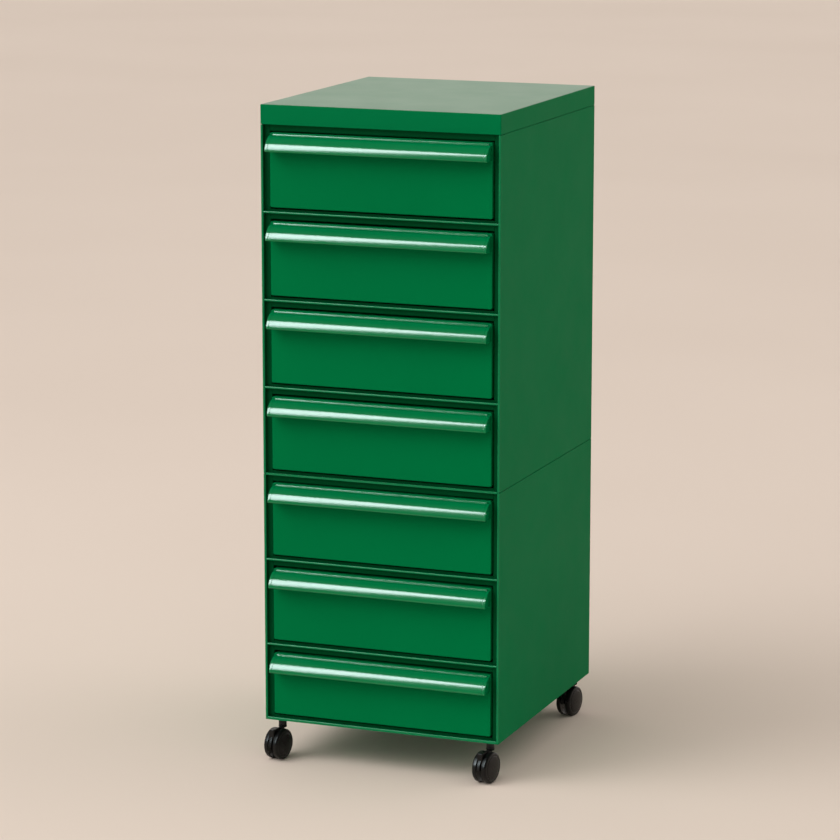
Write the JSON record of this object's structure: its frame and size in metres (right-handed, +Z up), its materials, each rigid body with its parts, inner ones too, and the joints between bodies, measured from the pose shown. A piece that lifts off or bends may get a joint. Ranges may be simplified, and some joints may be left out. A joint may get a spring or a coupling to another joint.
{
  "type": "mobile drawer cabinet",
  "caption": "Tall narrow sheet-steel cabinet with full-width hooded drawers that slide out, on twin-wheel swivel casters.",
  "frame": {"origin": "on the floor, under the middle of the overall box", "axes": "+Z up; the drawers open towards -Y; +X to the right when facing the back"},
  "size_m": [0.4, 0.4726, 1.0613],
  "materials": {
    "green_powder_coat": "satin",
    "green_drawer_coat": "gloss",
    "zinc_steel": "satin",
    "dark_steel": "satin",
    "nylon": "matte",
    "black_plastic": "satin",
    "rubber": "matte"
  },
  "bodies": {
    "cabinet": {"upper_carcass": "green_powder_coat", "lower_carcass": "green_powder_coat", "top_cap": "green_powder_coat", "upper_back_panel": "green_powder_coat", "lower_back_panel": "green_powder_coat", "upper_divider_rails": "green_powder_coat", "lower_divider_rails": "green_powder_coat", "upper_runners": "zinc_steel", "lower_runners": "zinc_steel", "runner_glides": "nylon", "module_bolts": "zinc_steel", "cap_screws": "zinc_steel", "back_panel_screws": "zinc_steel", "caster_plates": "dark_steel", "caster_stems": "dark_steel", "drawer_buffers": "rubber"},
    "drawer_1": {"drawer_1_box": "green_powder_coat", "drawer_1_front": "green_drawer_coat", "drawer_1_pull": "green_drawer_coat", "drawer_1_rails": "zinc_steel"},
    "drawer_2": {"drawer_2_box": "green_powder_coat", "drawer_2_front": "green_drawer_coat", "drawer_2_pull": "green_drawer_coat", "drawer_2_rails": "zinc_steel"},
    "drawer_3": {"drawer_3_box": "green_powder_coat", "drawer_3_front": "green_drawer_coat", "drawer_3_pull": "green_drawer_coat", "drawer_3_rails": "zinc_steel"},
    "drawer_4": {"drawer_4_box": "green_powder_coat", "drawer_4_front": "green_drawer_coat", "drawer_4_pull": "green_drawer_coat", "drawer_4_rails": "zinc_steel"},
    "drawer_5": {"drawer_5_box": "green_powder_coat", "drawer_5_front": "green_drawer_coat", "drawer_5_pull": "green_drawer_coat", "drawer_5_rails": "zinc_steel"},
    "drawer_6": {"drawer_6_box": "green_powder_coat", "drawer_6_front": "green_drawer_coat", "drawer_6_pull": "green_drawer_coat", "drawer_6_rails": "zinc_steel"},
    "drawer_7": {"drawer_7_box": "green_powder_coat", "drawer_7_front": "green_drawer_coat", "drawer_7_pull": "green_drawer_coat", "drawer_7_rails": "zinc_steel"},
    "caster_front_left": {"caster_front_left_hood": "black_plastic", "caster_front_left_axle": "zinc_steel"},
    "caster_front_left_wheel_left": {"caster_front_left_wheel_left": "black_plastic"},
    "caster_front_left_wheel_right": {"caster_front_left_wheel_right": "black_plastic"},
    "caster_front_right": {"caster_front_right_hood": "black_plastic", "caster_front_right_axle": "zinc_steel"},
    "caster_front_right_wheel_left": {"caster_front_right_wheel_left": "black_plastic"},
    "caster_front_right_wheel_right": {"caster_front_right_wheel_right": "black_plastic"},
    "caster_rear_left": {"caster_rear_left_hood": "black_plastic", "caster_rear_left_axle": "zinc_steel"},
    "caster_rear_left_wheel_left": {"caster_rear_left_wheel_left": "black_plastic"},
    "caster_rear_left_wheel_right": {"caster_rear_left_wheel_right": "black_plastic"},
    "caster_rear_right": {"caster_rear_right_hood": "black_plastic", "caster_rear_right_axle": "zinc_steel"},
    "caster_rear_right_wheel_left": {"caster_rear_right_wheel_left": "black_plastic"},
    "caster_rear_right_wheel_right": {"caster_rear_right_wheel_right": "black_plastic"}
  },
  "joints": [
    {"name": "drawer_1_slide", "type": "slide", "parent": "cabinet", "child": "drawer_1", "axis": [0, -1, 0], "range_m": [0, 0.35]},
    {"name": "drawer_2_slide", "type": "slide", "parent": "cabinet", "child": "drawer_2", "axis": [0, -1, 0], "range_m": [0, 0.35]},
    {"name": "drawer_3_slide", "type": "slide", "parent": "cabinet", "child": "drawer_3", "axis": [0, -1, 0], "range_m": [0, 0.35]},
    {"name": "drawer_4_slide", "type": "slide", "parent": "cabinet", "child": "drawer_4", "axis": [0, -1, 0], "range_m": [0, 0.35]},
    {"name": "drawer_5_slide", "type": "slide", "parent": "cabinet", "child": "drawer_5", "axis": [0, -1, 0], "range_m": [0, 0.35]},
    {"name": "drawer_6_slide", "type": "slide", "parent": "cabinet", "child": "drawer_6", "axis": [0, -1, 0], "range_m": [0, 0.35]},
    {"name": "drawer_7_slide", "type": "slide", "parent": "cabinet", "child": "drawer_7", "axis": [0, -1, 0], "range_m": [0, 0.35]},
    {"name": "caster_front_left_swivel", "type": "hinge", "parent": "cabinet", "child": "caster_front_left", "pos_m": [-0.179, -0.1943, 0.05], "axis": [0, 0, 1], "continuous": true},
    {"name": "caster_front_left_wheel_left_spin", "type": "hinge", "parent": "caster_front_left", "child": "caster_front_left_wheel_left", "pos_m": [-0.18126, -0.2071, 0.025], "axis": [0.9848, -0.1736, 0], "continuous": true},
    {"name": "caster_front_left_wheel_right_spin", "type": "hinge", "parent": "caster_front_left", "child": "caster_front_left_wheel_right", "pos_m": [-0.18126, -0.2071, 0.025], "axis": [0.9848, -0.1736, 0], "continuous": true},
    {"name": "caster_front_right_swivel", "type": "hinge", "parent": "cabinet", "child": "caster_front_right", "pos_m": [0.179, -0.1943, 0.05], "axis": [0, 0, 1], "continuous": true},
    {"name": "caster_front_right_wheel_left_spin", "type": "hinge", "parent": "caster_front_right", "child": "caster_front_right_wheel_left", "pos_m": [0.17674, -0.2071, 0.025], "axis": [0.9848, -0.1736, 0], "continuous": true},
    {"name": "caster_front_right_wheel_right_spin", "type": "hinge", "parent": "caster_front_right", "child": "caster_front_right_wheel_right", "pos_m": [0.17674, -0.2071, 0.025], "axis": [0.9848, -0.1736, 0], "continuous": true},
    {"name": "caster_rear_left_swivel", "type": "hinge", "parent": "cabinet", "child": "caster_rear_left", "pos_m": [-0.179, 0.2137, 0.05], "axis": [0, 0, 1], "continuous": true},
    {"name": "caster_rear_left_wheel_left_spin", "type": "hinge", "parent": "caster_rear_left", "child": "caster_rear_left_wheel_left", "pos_m": [-0.18126, 0.2009, 0.025], "axis": [0.9848, -0.1736, 0], "continuous": true},
    {"name": "caster_rear_left_wheel_right_spin", "type": "hinge", "parent": "caster_rear_left", "child": "caster_rear_left_wheel_right", "pos_m": [-0.18126, 0.2009, 0.025], "axis": [0.9848, -0.1736, 0], "continuous": true},
    {"name": "caster_rear_right_swivel", "type": "hinge", "parent": "cabinet", "child": "caster_rear_right", "pos_m": [0.179, 0.2137, 0.05], "axis": [0, 0, 1], "continuous": true},
    {"name": "caster_rear_right_wheel_left_spin", "type": "hinge", "parent": "caster_rear_right", "child": "caster_rear_right_wheel_left", "pos_m": [0.17674, 0.2009, 0.025], "axis": [0.9848, -0.1736, 0], "continuous": true},
    {"name": "caster_rear_right_wheel_right_spin", "type": "hinge", "parent": "caster_rear_right", "child": "caster_rear_right_wheel_right", "pos_m": [0.17674, 0.2009, 0.025], "axis": [0.9848, -0.1736, 0], "continuous": true}
  ]
}
